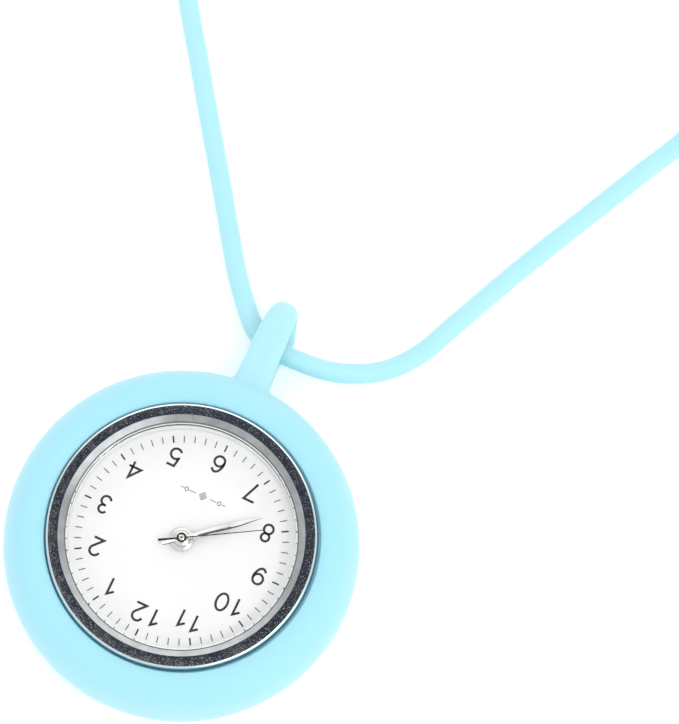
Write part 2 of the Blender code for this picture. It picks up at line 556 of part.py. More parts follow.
def make_setting_parts():
    """Crown, stem and sliding pinion turn and pull out together along the stem's axis."""
    crown = plate("crown", [circle_ridges(1.85, 0.09, 24)], 17.35, 18.95, "polished_steel",
                  rotation=AXIS_TILT)
    crown.location.z = STEM_Z * MM
    hole = turned("crown_bore", rod_profile((1.35, 18.2, 17.0)), None, (0, 0, STEM_Z), AXIS_TILT, 24)
    combine(crown, hole, "DIFFERENCE")
    turned("crown_gasket", tube_profile(0.95, 1.27, 17.55, 18.0), "gasket_rubber", (0, 0, STEM_Z),
           AXIS_TILT, 16)
    stem = rod_profile((0.42, 18.12, 8.6), (0.24, 8.6, 8.0), (0.42, 8.0, 6.3), (0.26, 6.3, 4.0))
    turned("stem", stem, "brushed_steel", (0, 0, STEM_Z), AXIS_TILT, 12)
    pinion = plate("sliding_pinion", [circle_ridges(0.6, 0.06, 12), circle(0.3, count=16)], 5.0, 6.0, "brass",
                   rotation=AXIS_TILT)
    pinion.location.z = STEM_Z * MM

    x, y = LEVER_PIVOT
    nose = CROWN_PULL / 2
    outline = [*arc((0, 0), 0.75, 0, 180, 7), (nose - 0.62, -y - 0.1), (nose - 0.3, -y - 0.45),
               (nose + 0.3, -y - 0.45)]
    lever = plate("setting_lever", [outline, circle(0.4, count=12)], 4.62, 4.8, "brushed_steel", LEVER_PIVOT)
    combine(lever, block("lever_nose", (x + nose - 0.14, -0.3, 4.7), (x + nose + 0.14, 0.3, 5.04)), "UNION")


def circle_ridges(radius, depth, count):
    """A knurled outline: two points a ridge."""
    points = []
    for i in range(count):
        for r, turn in ((radius, -0.15), (radius, 0.15), (radius - depth, 0.5)):
            angle = math.tau * (i + turn) / count
            points.append((r * math.cos(angle), r * math.sin(angle)))
    return points


# ---------------------------------------------------------------- neck cord

def make_cord():
    cord_tube("neck_cord", smooth_route(NECK_ROUTE, ROUTE_STEP), "cord_silicone")
    cord_tube("neck_cord_tail", smooth_route(TAIL_ROUTE, ROUTE_STEP), "cord_silicone")
    inner, outer = COIL_INNER_TURN_R - CORD_R - 0.1, COIL_OUTER_TURN_R + CORD_R + 0.1
    profile = [(inner, COIL_HEIGHT - 0.6), (inner + 0.6, COIL_HEIGHT), (outer - 0.6, COIL_HEIGHT),
               (outer, COIL_HEIGHT - 0.6), (outer, 0.6), (outer - 0.6, 0), (inner + 0.6, 0), (inner, 0.6)]
    coil = turned("neck_cord_coil", profile, "cord_silicone", (*COIL_CENTRE, 0), segments=40)
    x, y = COIL_CENTRE
    tie_half = 1.5
    notch = block("tie_notch", (x - tie_half - TOUCH_GAP, y + inner - 1, -1),
                  (x + tie_half + TOUCH_GAP, y + outer + 1, 0.75))
    combine(coil, notch, "DIFFERENCE")

    band, room = 0.45, TOUCH_GAP
    low, high = inner - room, outer + room
    hole = [(low, 0.5), (high, 0.5), (high, COIL_HEIGHT + room), (low, COIL_HEIGHT + room)]
    around = [(low - band, 0.03), (high + band, 0.03), (high + band, COIL_HEIGHT + room + band - 0.5),
              (high + band - 0.5, COIL_HEIGHT + room + band), (low - band + 0.5, COIL_HEIGHT + room + band),
              (low - band, COIL_HEIGHT + room + band - 0.5)]
    tie = plate("coil_tie", [around, hole], -tie_half, tie_half, "tie_band", COIL_CENTRE,
                (math.pi / 2, 0, math.pi / 2))
    tie.location.z = 0

    half = JOINER_LENGTH / 2
    profile = [(0, half), (JOINER_R - 0.4, half), (JOINER_R, half - 0.4), (JOINER_R, 0.4 - half),
               (JOINER_R - 0.4, -half), (0, -half)]
    turned("cord_joiner", profile, "joiner_plastic", JOINER_AT,
           (math.pi / 2, 0, JOINER_DIRECTION + math.pi / 2), 20)


def main():
    make_materials()
    make_silicone_case()
    make_case()
    make_bezel_and_crystal()
    make_case_back()
    make_dial()
    make_hands()
    make_train()
    make_motor()
    make_plates()
    make_electrics()
    make_setting_parts()
    make_cord()


clear_scene()
PARTS = make_collection("fob_watch")
CUTTERS = make_collection("cutters")
main()
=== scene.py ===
"""Looks for a quartz fob watch in a silicone ring on its neck cord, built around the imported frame.

Frame: +Z comes out of the dial, +Y points at 6 o'clock and the hanging loop, +X at 9 o'clock.
Dimensions are millimetres; MM turns them into Blender's metres.
"""
import json
import math

import bmesh
import bpy
from mathutils import Matrix, Vector


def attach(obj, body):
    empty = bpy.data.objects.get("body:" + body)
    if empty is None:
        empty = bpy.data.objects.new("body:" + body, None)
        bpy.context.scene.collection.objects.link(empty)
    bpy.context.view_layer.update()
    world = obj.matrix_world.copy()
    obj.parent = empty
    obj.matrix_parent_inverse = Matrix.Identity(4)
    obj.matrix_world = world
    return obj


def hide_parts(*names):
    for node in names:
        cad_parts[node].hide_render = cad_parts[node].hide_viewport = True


MM = 0.001
ROOT = "watch_body"
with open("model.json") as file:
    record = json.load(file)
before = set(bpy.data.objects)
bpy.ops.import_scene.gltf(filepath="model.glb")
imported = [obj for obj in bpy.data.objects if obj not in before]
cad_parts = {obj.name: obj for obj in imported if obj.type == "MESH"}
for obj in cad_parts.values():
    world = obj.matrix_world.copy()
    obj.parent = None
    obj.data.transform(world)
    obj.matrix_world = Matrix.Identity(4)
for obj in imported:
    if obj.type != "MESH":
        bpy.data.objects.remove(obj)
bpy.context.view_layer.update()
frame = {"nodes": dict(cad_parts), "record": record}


# ---------------------------------------------------------------- finishes

class Finish:
    """A Principled material with procedural detail in the piece's own coordinates."""

    def __init__(self, name, colour, roughness, metallic=0.0, **sockets):
        self.name = name
        self.material = bpy.data.materials.new("look_" + name)
        self.material.use_nodes = True
        self.nodes = self.material.node_tree.nodes
        self.links = self.material.node_tree.links
        self.shader = self.nodes["Principled BSDF"]
        self.last_bump = None
        self.place = self.nodes.new("ShaderNodeTexCoord").outputs["Object"]
        values = {"Base Color": (*colour, 1.0), "Roughness": roughness, "Metallic": metallic}
        values.update({name.replace("_", " "): value for name, value in sockets.items()})
        for socket, value in values.items():
            self.shader.inputs[socket].default_value = value

    def stretched(self, scale):
        """The piece's coordinates, in millimetres, times a scale for each axis."""
        mapping = self.nodes.new("ShaderNodeVectorMath")
        mapping.operation = "MULTIPLY"
        self.links.new(self.place, mapping.inputs[0])
        mapping.inputs[1].default_value = [s / MM for s in scale]
        return mapping.outputs[0]

    def noise(self, size, detail=2.0, stretch=(1, 1, 1), rough=0.5):
        """Noise whose features are about `size` millimetres across."""
        node = self.nodes.new("ShaderNodeTexNoise")
        node.inputs["Scale"].default_value = 1.0
        node.inputs["Detail"].default_value = detail
        node.inputs["Roughness"].default_value = rough
        self.links.new(self.stretched([s / size for s in stretch]), node.inputs["Vector"])
        return node.outputs["Fac"]

    def cells(self, size, feature="F1"):
        node = self.nodes.new("ShaderNodeTexVoronoi")
        node.inputs["Scale"].default_value = 1.0
        node.feature = feature
        self.links.new(self.stretched([1 / size] * 3), node.inputs["Vector"])
        return node.outputs["Distance"]

    def radius(self, centre=(0, 0)):
        """Distance from an upright axis, in millimetres."""
        offset = self.nodes.new("ShaderNodeVectorMath")
        offset.operation = "SUBTRACT"
        self.links.new(self.stretched((1, 1, 0)), offset.inputs[0])
        offset.inputs[1].default_value = (*centre, 0)
        length = self.nodes.new("ShaderNodeVectorMath")
        length.operation = "LENGTH"
        self.links.new(offset.outputs[0], length.inputs[0])
        return length.outputs["Value"]

    def rings(self, size, centre=(0, 0)):
        """Turned marks: noise that only changes with the distance from the axis."""
        node = self.nodes.new("ShaderNodeTexNoise")
        node.noise_dimensions = "1D"
        node.inputs["Scale"].default_value = 1.0 / size
        node.inputs["Detail"].default_value = 3.0
        self.links.new(self.radius(centre), node.inputs["W"])
        return node.outputs["Fac"]

    def spread(self, fac, low, high, start=0.3, end=0.7):
        """Maps a texture onto a range, clamped."""
        node = self.nodes.new("ShaderNodeMapRange")
        self.links.new(fac, node.inputs["Value"])
        node.inputs["From Min"].default_value = start
        node.inputs["From Max"].default_value = end
        node.inputs["To Min"].default_value = low
        node.inputs["To Max"].default_value = high
        return node.outputs["Result"]

    def colours(self, fac, first, second, start=0.3, end=0.7):
        mix = self.nodes.new("ShaderNodeMix")
        mix.data_type = "RGBA"
        self.links.new(self.spread(fac, 0.0, 1.0, start, end), mix.inputs["Factor"])
        mix.inputs[6].default_value = (*first, 1.0)
        mix.inputs[7].default_value = (*second, 1.0)
        self.links.new(mix.outputs[2], self.shader.inputs["Base Color"])
        return self

    def roughness(self, fac, low, high, start=0.3, end=0.7):
        self.links.new(self.spread(fac, low, high, start, end), self.shader.inputs["Roughness"])
        return self

    def bump(self, fac, height):
        """Raises the surface by up to `height` millimetres where the texture is 1."""
        node = self.nodes.new("ShaderNodeBump")
        node.inputs["Strength"].default_value = 1.0
        node.inputs["Distance"].default_value = height * MM
        self.links.new(fac, node.inputs["Height"])
        if self.last_bump:
            self.links.new(self.last_bump, node.inputs["Normal"])
        self.last_bump = node.outputs["Normal"]
        self.links.new(self.last_bump, self.shader.inputs["Normal"])
        return self


def silicone_finish(name, colour, shade):
    look = Finish(name, colour, 0.42, Subsurface_Weight=0.35, Subsurface_Scale=1.6 * MM,
                  Subsurface_Radius=(0.7, 1.0, 1.1), Specular_IOR_Level=0.42,
                  Sheen_Weight=0.12, Sheen_Roughness=0.5)
    look.colours(look.noise(9.0, 3.0), colour, shade)
    look.roughness(look.noise(0.9, 3.0), 0.38, 0.50)
    look.bump(look.noise(0.16, 3.0), 0.004)
    look.bump(look.noise(2.4, 2.0), 0.02)
    return look


def glass_finish():
    """Clear glass that lets light straight through to what it covers."""
    look = Finish("mineral_glass", (1.0, 1.0, 1.0), 0.0, Transmission_Weight=1.0, IOR=1.5)
    look.bump(look.noise(3.0, 1.0), 0.0004)
    path = look.nodes.new("ShaderNodeLightPath")
    either = look.nodes.new("ShaderNodeMath")
    either.operation = "MAXIMUM"
    look.links.new(path.outputs["Is Shadow Ray"], either.inputs[0])
    look.links.new(path.outputs["Is Diffuse Ray"], either.inputs[1])
    clear = look.nodes.new("ShaderNodeBsdfTransparent")
    mix = look.nodes.new("ShaderNodeMixShader")
    look.links.new(either.outputs[0], mix.inputs[0])
    look.links.new(look.shader.outputs[0], mix.inputs[1])
    look.links.new(clear.outputs[0], mix.inputs[2])
    look.links.new(mix.outputs[0], look.nodes["Material Output"].inputs["Surface"])
    return look


def make_finishes():
    looks = {}

    def keep(look):
        looks[look.name] = look.material
        return look

    look = keep(silicone_finish("silicone", (0.345, 0.68, 0.79), (0.36, 0.70, 0.81)))
    spot = look.nodes.new("ShaderNodeSeparateXYZ")
    look.links.new(look.stretched((1, 1, 1)), spot.inputs[0])
    # the loop is painted lighter from y 18 to 23 mm: painted light standing in for light passing through the
    # thinner silicone
    look.colours(spot.outputs["Y"], (0.352, 0.69, 0.80), (0.41, 0.72, 0.79), 18.0, 23.0)
    keep(silicone_finish("cord_silicone", (0.385, 0.70, 0.77), (0.40, 0.72, 0.79)))

    look = keep(Finish("joiner_plastic", (0.74, 0.95, 0.98), 0.16, Transmission_Weight=0.45, IOR=1.46))
    look.roughness(look.noise(1.2), 0.10, 0.24)
    look.bump(look.noise(0.5), 0.004)

    look = keep(Finish("tie_band", (0.80, 0.81, 0.80), 0.85, Sheen_Weight=0.4))
    # darker where the weave is sunk: painted shade in the gaps between the threads
    weft_and_gap_shade = look.cells(0.34)
    look.colours(weft_and_gap_shade, (0.86, 0.87, 0.86), (0.58, 0.60, 0.60), 0.2, 0.7)
    look.bump(weft_and_gap_shade, -0.09)
    look.bump(look.noise(0.08, 2.0, (4, 1, 1)), 0.03)

    # the bezel's broad face, finely pitted where it has been handled
    look = keep(Finish("bezel_steel", (0.60, 0.61, 0.63), 0.14, 1.0))
    patches = look.noise(0.20, 3.0, rough=0.6)
    look.colours(patches, (0.57, 0.58, 0.60), (0.92, 0.93, 0.95), 0.52, 0.74)
    look.roughness(look.noise(0.9, 3.0), 0.10, 0.22, 0.35, 0.7)
    look.bump(look.spread(patches, 0.0, 1.0, 0.56, 0.70), 0.006)
    look.bump(look.noise(0.11, 2.0), 0.0012)

    # the outer edge: the steel is brightened and tinted teal, a painted highlight with the silicone's reflection
    # painted in
    look = keep(Finish("bezel_edge_painted_highlight", (0.88, 0.97, 1.0), 0.07, 1.0))
    look.roughness(look.noise(0.7, 3.0), 0.04, 0.12)
    look.bump(look.noise(0.9, 2.0), 0.002)

    # the inner slope: its steel colour is darkened, in patches that vary at random, as painted shade that dims its
    # reflections
    look = keep(Finish("bezel_slope_painted_shade", (0.66, 0.67, 0.69), 0.12, 1.0))
    look.colours(look.noise(1.8, 3.0), (0.42, 0.44, 0.455), (0.56, 0.58, 0.59))
    look.roughness(look.rings(0.07), 0.07, 0.20)
    look.bump(look.rings(0.10), 0.0015)

    look = keep(Finish("case_steel", (0.62, 0.63, 0.65), 0.28, 1.0))
    look.colours(look.rings(0.22), (0.54, 0.55, 0.57), (0.70, 0.71, 0.73))
    look.roughness(look.rings(0.09), 0.20, 0.42)
    look.bump(look.rings(0.05), 0.004)
    look.bump(look.noise(0.25, 3.0, (1, 0.05, 1)), 0.002)

    look = keep(Finish("polished_steel", (0.80, 0.81, 0.83), 0.10, 1.0))
    look.roughness(look.noise(0.4, 3.0), 0.06, 0.20)
    look.bump(look.noise(0.3, 2.0), 0.002)

    look = keep(Finish("movement_steel", (0.62, 0.63, 0.65), 0.30, 1.0))
    grain = look.noise(0.12, 2.0, (0.06, 1, 1))
    look.roughness(grain, 0.22, 0.42)
    look.bump(grain, 0.003)

    look = keep(Finish("hand_steel", (0.93, 0.91, 0.885), 0.10, 1.0))
    look.roughness(look.noise(0.3, 2.0), 0.06, 0.16)
    look.bump(look.noise(0.25, 2.0), 0.0015)

    # the thin flat hand and the ring of its hub read darker than the domed ones: their steel colour is darkened, a
    # painted dark reflection
    look = keep(Finish("hand_dark", (0.26, 0.25, 0.24), 0.16, 1.0))
    look.roughness(look.noise(0.3, 2.0), 0.10, 0.26)

    keep(glass_finish())

    # the crystal's seat: its dark grey is painted shade for the shadowed gap under the bezel, not the nylon's own
    # colour
    look = keep(Finish("gasket_nylon", (0.22, 0.22, 0.215), 0.45))
    look.colours(look.noise(0.5), (0.20, 0.20, 0.195), (0.25, 0.25, 0.245))
    look.bump(look.noise(0.12), 0.003)

    look = keep(Finish("gasket_rubber", (0.045, 0.047, 0.05), 0.6))
    look.colours(look.noise(0.4), (0.035, 0.037, 0.04), (0.06, 0.062, 0.066))
    look.bump(look.noise(0.15), 0.006)

    look = keep(Finish("dial_white", (0.90, 0.905, 0.90), 0.42, Coat_Weight=0.25, Coat_Roughness=0.2))
    look.colours(look.noise(5.0, 3.0), (0.840, 0.850, 0.845), (0.865, 0.872, 0.863))
    look.bump(look.noise(0.10, 2.0), 0.0012)

    look = keep(Finish("dial_ink", (0.030, 0.030, 0.032), 0.6))
    look.colours(look.noise(0.22, 3.0), (0.022, 0.022, 0.024), (0.045, 0.045, 0.047))
    look.bump(look.noise(0.06), 0.002)

    look = keep(Finish("dial_ink_fine", (0.17, 0.17, 0.175), 0.5))
    look.colours(look.noise(0.35, 3.0), (0.08, 0.08, 0.083), (0.17, 0.17, 0.173))

    look = keep(Finish("dial_ink_pale", (0.16, 0.16, 0.163), 0.5))
    look.colours(look.noise(0.3, 3.0), (0.12, 0.12, 0.122), (0.20, 0.20, 0.203))

    look = keep(Finish("holder_plastic", (0.88, 0.88, 0.86), 0.45, Subsurface_Weight=0.1,
                       Subsurface_Scale=0.4 * MM, Subsurface_Radius=(1.0, 1.0, 0.9)))
    look.colours(look.noise(2.5), (0.86, 0.865, 0.85), (0.91, 0.915, 0.90))
    look.bump(look.noise(0.12), 0.003)

    look = keep(Finish("plate_plastic", (0.16, 0.17, 0.18), 0.42))
    look.colours(look.noise(1.5), (0.13, 0.14, 0.15), (0.19, 0.20, 0.21))
    look.bump(look.noise(0.10), 0.006)

    look = keep(Finish("brass", (0.80, 0.62, 0.28), 0.24, 1.0))
    look.colours(look.noise(1.1, 3.0), (0.74, 0.55, 0.23), (0.85, 0.67, 0.33))
    look.roughness(look.noise(0.25), 0.16, 0.34)
    look.bump(look.noise(0.14), 0.0015)

    look = keep(Finish("copper_wire", (0.72, 0.30, 0.12), 0.30, 0.9, Coat_Weight=0.5))
    turns = look.nodes.new("ShaderNodeTexWave")
    turns.bands_direction = "Y"
    turns.inputs["Scale"].default_value = 2.2
    look.links.new(look.stretched((1, 1, 1)), turns.inputs["Vector"])
    # darker in the troughs between the turns: painted shade in the grooves
    look.colours(turns.outputs["Fac"], (0.45, 0.16, 0.06), (0.80, 0.36, 0.15), 0.1, 0.8)
    look.bump(turns.outputs["Fac"], 0.03)

    look = keep(Finish("magnet", (0.20, 0.20, 0.21), 0.38, 1.0))
    look.roughness(look.noise(0.10, 3.0), 0.28, 0.52)
    look.bump(look.noise(0.08, 3.0), 0.005)

    look = keep(Finish("circuit", (0.05, 0.24, 0.12), 0.35, Coat_Weight=0.6))
    tracks = look.cells(0.7, "DISTANCE_TO_EDGE")
    look.colours(tracks, (0.10, 0.34, 0.16), (0.035, 0.20, 0.10), 0.04, 0.07)
    look.bump(tracks, -0.02)

    look = keep(Finish("chip", (0.02, 0.02, 0.02), 0.5))
    look.colours(look.noise(0.2, 3.0), (0.015, 0.015, 0.016), (0.032, 0.032, 0.034))
    look.bump(look.noise(0.06, 3.0), 0.006)

    look = keep(Finish("floor_white", (0.92, 0.92, 0.92), 0.75, Emission_Color=(1.0, 1.0, 1.0, 1.0),
                       Emission_Strength=0.2))
    look.roughness(look.noise(40.0), 0.68, 0.80)
    return looks


LOOKS = make_finishes()


def dress_frame():
    """Gives every CAD node the finish of its slot in the record."""
    for entry in frame["record"]["subparts"]:
        for slot in frame["nodes"][entry["node"]].material_slots:
            slot.material = LOOKS[entry["material_slot"]]


# ---------------------------------------------------------------- geometry helpers

def add_piece(name, data, finishes, body=ROOT, nodes=()):
    piece = bpy.data.objects.new(name, data)
    bpy.context.scene.collection.objects.link(piece)
    for finish in finishes:
        data.materials.append(LOOKS[finish])
    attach(piece, body)
    if nodes:
        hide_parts(*nodes)
    return piece


def finish_mesh(bm, name, angle=32):
    """Welds, faces the normals outwards and shades smooth up to `angle` degrees."""
    bmesh.ops.remove_doubles(bm, verts=bm.verts, dist=1e-7)
    bmesh.ops.recalc_face_normals(bm, faces=bm.faces)
    mesh = bpy.data.meshes.new(name)
    bm.to_mesh(mesh)
    bm.free()
    mesh.shade_smooth()
    mesh.set_sharp_from_angle(angle=math.radians(angle))
    return mesh


def rounded(corners, steps=4, closed=True):
    """Corners (a, b, radius) turned into a polyline with its corners rounded off."""
    count = len(corners)
    line = []
    for i, (a, b, radius) in enumerate(corners):
        here = Vector((a, b))
        if radius == 0 or (not closed and i in (0, count - 1)):
            line.append((a, b))
            continue
        before = Vector(corners[i - 1][:2]) - here
        after = Vector(corners[(i + 1) % count][:2]) - here
        half_turn = (math.pi - before.angle(after)) / 2
        cut = min(radius * math.tan(half_turn), 0.48 * before.length, 0.48 * after.length)
        start, end = here + before.normalized() * cut, here + after.normalized() * cut
        for k in range(steps + 1):
            t = k / steps
            line.append(tuple(start * (1 - t) ** 2 + here * 2 * t * (1 - t) + end * t ** 2))
    return line


def turn(bm, profile, segments=160, closed=True, paint=None, place=Matrix()):
    """Turns (radius, height) points about Z; paint(r, z) picks each band's material index."""
    spots = [Vector((r, 0, z)) for r, z in profile]
    rings = []
    for i in range(segments):
        spin = Matrix.Rotation(math.tau * i / segments, 4, "Z")
        rings.append([bm.verts.new((place @ (spin @ spot)) * MM) for spot in spots])
    last = len(spots) if closed else len(spots) - 1
    for ring, following in zip(rings, rings[1:] + rings[:1]):
        for k in range(last):
            n = (k + 1) % len(spots)
            face = bm.faces.new((ring[k], following[k], following[n], ring[n]))
            if paint:
                middle = (spots[k] + spots[n]) / 2
                face.material_index = paint(middle.x, middle.z)


def turned_mesh(name, profile, segments=160, closed=True, paint=None, place=Matrix(), angle=32):
    bm = bmesh.new()
    turn(bm, profile, segments, closed, paint, place)
    return finish_mesh(bm, name, angle)


def sweep(bm, rings):
    """Joins rings of points, each a closed loop, and caps both ends."""
    made = [[bm.verts.new(Vector(p) * MM) for p in ring] for ring in rings]
    count = len(made[0])
    for ring, following in zip(made, made[1:]):
        for k in range(count):
            n = (k + 1) % count
            bm.faces.new((ring[k], ring[n], following[n], following[k]))
    bm.faces.new(made[0][::-1])
    bm.faces.new(made[-1])


def smooth_route(points, step):
    """Points about `step` apart on a Catmull-Rom curve through the given ones."""
    points = [Vector(p) for p in points]
    padded = [2 * points[0] - points[1], *points, 2 * points[-1] - points[-2]]
    route = []
    for i in range(1, len(padded) - 2):
        a, b, c, d = padded[i - 1:i + 3]
        count = max(1, round((c - b).length / step))
        for k in range(count):
            t = k / count
            route.append(0.5 * (2 * b + (c - a) * t + (2 * a - 5 * b + 4 * c - d) * t ** 2
                                + (3 * b - a - 3 * c + d) * t ** 3))
    return route + [points[-1]]


def evaluated(obj):
    """The mesh of an object with its modifiers applied; the object itself is removed."""
    bpy.context.view_layer.update()
    mesh = bpy.data.meshes.new_from_object(obj.evaluated_get(bpy.context.evaluated_depsgraph_get()))
    bpy.data.objects.remove(obj, do_unlink=True)
    mesh.materials.clear()
    return mesh


def scratch(name, mesh):
    obj = bpy.data.objects.new(name, mesh)
    bpy.context.scene.collection.objects.link(obj)
    return obj


# ---------------------------------------------------------------- camera

def add_camera():
    """Looks down on the dial from the 12 o'clock side, turned so that the cord runs up the frame."""
    data = bpy.data.cameras.new("camera")
    data.lens = 211.62
    data.clip_start = 0.02
    camera = bpy.data.objects.new("camera", data)
    right = Vector((0.90657, 0.42083, 0.03211))
    up = Vector((-0.41445, 0.87329, 0.25610))
    back = Vector((0.07973, -0.24548, 0.96612))
    camera.matrix_world = Matrix.Translation((0.0493028, -0.0992879, 0.5104487)) @ Matrix(
        (right, up, back)).transposed().to_4x4()
    bpy.context.scene.collection.objects.link(camera)
    bpy.context.scene.camera = camera


# ---------------------------------------------------------------- neck cord

CORD_D = 2.5
COIL_CENTRE = (20.0, 114.0)
COIL_INNER_R = 9.87
COIL_PITCH = 2.55
COIL_TURNS = 6.375
COIL_ENTRY = 135.0                # degrees; the cord runs clockwise from here
UPPER_LAYER_Z, LOWER_LAYER_Z = 3.78, 1.25
TIE_ANGLE = 90.0
TIE_LIFT = 0.55
JOINER_AT = (-14.0, 105.4, 2.05)
JOINER_HALF = 6.0
NECK_ROUTE = (
    (38.0, 103.4, 1.26), (37.9, 96.0, 1.26), (37.4, 88.0, 1.26), (36.2, 80.0, 1.26), (34.0, 74.1, 1.26),
    (31.5, 69.1, 1.26), (28.3, 62.4, 1.26), (24.0, 53.5, 1.26), (20.9, 46.7, 1.26), (17.9, 39.8, 1.26),
    (15.9, 35.3, 1.26), (13.2, 31.8, 1.32), (10.2, 29.7, 1.60), (6.9, 28.2, 2.45), (3.2, 27.45, 3.55),
    (-0.4, 27.5, 3.98), (-3.6, 28.75, 3.40), (-6.4, 31.7, 2.25), (-9.2, 35.2, 1.45), (-11.6, 38.6, 1.26),
    (-16.1, 45.1, 1.26), (-20.7, 51.6, 1.26), (-25.3, 58.2, 1.26), (-30.0, 64.9, 1.26), (-33.6, 71.2, 1.26),
    (-35.4, 78.0, 1.26), (-34.4, 84.6, 1.26), (-30.0, 89.9, 1.40), (-24.4, 95.1, 1.80), (-18.5, 100.95, 2.04),
)
TAIL_ROUTE = ((-9.45, 109.95, 2.04), (-6.0, 113.4, 1.85), (-3.0, 116.4, 1.60), (-0.2, 119.2, 1.90))
# heights of the cord as it climbs onto the coil: distance before the coil, height
COIL_CLIMB = ((9.0, 2.62), (7.4, 3.18), (5.8, 3.58), (3.8, 3.74), (1.8, 3.78))


def coil_points(per_turn=48):
    """Inwards on the upper layer, down at the middle, and outwards on the lower one."""
    points = []
    total = round(COIL_TURNS * per_turn)
    for i in range(total + 1):
        turns = i / per_turn
        from_middle = turns - COIL_TURNS / 2
        radius = COIL_INNER_R + COIL_PITCH * math.hypot(from_middle, 0.05)
        degrees = COIL_ENTRY - 360 * turns
        drop = min(max(0.5 + from_middle / 0.28, 0), 1)
        height = UPPER_LAYER_Z + (LOWER_LAYER_Z - UPPER_LAYER_Z) * drop * drop * (3 - 2 * drop)
        from_tie = abs((degrees - TIE_ANGLE + 180) % 360 - 180)
        if from_tie < 32:
            height += TIE_LIFT * math.cos(math.radians(from_tie / 32 * 90)) ** 2
        turned = math.radians(degrees)
        points.append((COIL_CENTRE[0] + radius * math.cos(turned),
                       COIL_CENTRE[1] + radius * math.sin(turned), height))
    return points


def make_cord():
    lean = Vector((1, 1, 0)).normalized()
    coil = coil_points()
    joiner = Vector(JOINER_AT)
    climb = [Vector((*coil[0][:2], height)) - lean * before for before, height in COIL_CLIMB]
    start = smooth_route([joiner + lean * 0.3, *TAIL_ROUTE, *climb, Vector(coil[0])], 1.0)
    end = smooth_route([Vector(coil[-1]), *NECK_ROUTE, joiner - lean * 0.3], 1.0)
    points = [*start[:-1], *[Vector(p) for p in coil[:-1]], *end]
    curve = bpy.data.curves.new("neck_cord_line", "CURVE")
    curve.dimensions = "3D"
    curve.bevel_depth = CORD_D / 2 * MM
    curve.bevel_resolution = 6
    curve.use_fill_caps = True
    spline = curve.splines.new("POLY")
    spline.points.add(len(points) - 1)
    for point, place in zip(spline.points, points):
        point.co = (*(Vector(place) * MM), 1)
    spline.use_smooth = True
    length = sum((b - a).length for a, b in zip(points, points[1:])) * MM
    cord = add_piece("neck_cord_line", curve, ["cord_silicone"],
                     nodes=("neck_cord", "neck_cord_tail", "neck_cord_coil"))
    return cord, length


def make_joiner():
    """A clear sleeve over the cord's two ends, with three grip rings moulded round it."""
    half = JOINER_HALF
    side = [(1.34, half, 0.1), (1.85, half, 0.2), (2.0, half - 0.5, 0.15)]
    for at in (2.6, 0.0, -2.6):
        side += [(2.0, at + 0.55, 0.1), (1.86, at + 0.35, 0.08), (1.86, at - 0.35, 0.08),
                 (2.0, at - 0.55, 0.1)]
    side += [(2.0, 0.5 - half, 0.15), (1.85, -half, 0.2), (1.34, -half, 0.1)]
    lay_down = Matrix.Translation(JOINER_AT) @ Matrix.Rotation(math.radians(45), 4, "Z") @ Matrix.Rotation(
        math.radians(90), 4, "Y")
    mesh = turned_mesh("joiner_sleeve", rounded(side, 3), 64, place=lay_down)
    return add_piece("joiner_sleeve", mesh, ["joiner_plastic"], nodes=["cord_joiner"])


def make_tie():
    """A woven band round the coil's section, with its end lapped over on top."""
    low, high = COIL_INNER_R - 1.65, COIL_INNER_R + COIL_PITCH * COIL_TURNS / 2 + 1.65
    floor, top = 0.04, 5.66
    half = 1.5
    thickness = 0.42
    bm = bmesh.new()
    x, y = COIL_CENTRE

    def band(outline, inset):
        """A closed strip following (distance from the coil's centre, height) points."""
        rings = []
        count = len(outline)
        for i, (d, z) in enumerate(outline):
            ahead = Vector(outline[(i + 1) % count]) - Vector(outline[i - 1])
            inward = Vector((-ahead.y, ahead.x)).normalized() * thickness
            section = []
            for across, depth in ((-half, 0.12), (-half + 0.14, 0.0), (half - 0.14, 0.0), (half, 0.12),
                                  (half, 0.88), (half - 0.14, 1.0), (-half + 0.14, 1.0), (-half, 0.88)):
                spot = Vector((d, z)) + inward * depth
                section.append((x + across * inset, y + spot.x, spot.y))
            rings.append([bm.verts.new(Vector(p) * MM) for p in section])
        for ring, following in zip(rings, rings[1:] + rings[:1]):
            for k in range(8):
                n = (k + 1) % 8
                bm.faces.new((ring[k], ring[n], following[n], following[k]))

    corners = [(low - 0.4, floor, 0.9), (high + 0.4, floor, 0.9), (high + 0.4, top + thickness, 1.5),
               (low - 0.4, top + thickness, 1.5)]
    band([(d, z) for d, z in rounded(corners, 8)], 1.0)
    lap = [(y + 10.6 + 5.6 * t, 0.02 * math.sin(math.pi * t)) for t in (0, 0.04, 0.3, 0.7, 0.96, 1)]
    sections = []
    for i, (along, lift) in enumerate(lap):
        thin = 0.10 if i in (0, len(lap) - 1) else 0.0
        top_z, low_z = top + 2 * thickness + lift - thin, top + thickness + 0.02 + lift
        sections.append([(x - half, along, low_z), (x + half, along, low_z), (x + half, along, top_z - 0.06),
                         (x + half - 0.12, along, top_z), (x - half + 0.12, along, top_z),
                         (x - half, along, top_z - 0.06)])
    sweep(bm, sections)
    return add_piece("tie_strap", finish_mesh(bm, "tie_strap"), ["tie_band"], nodes=["coil_tie"])


# ---------------------------------------------------------------- silicone ring

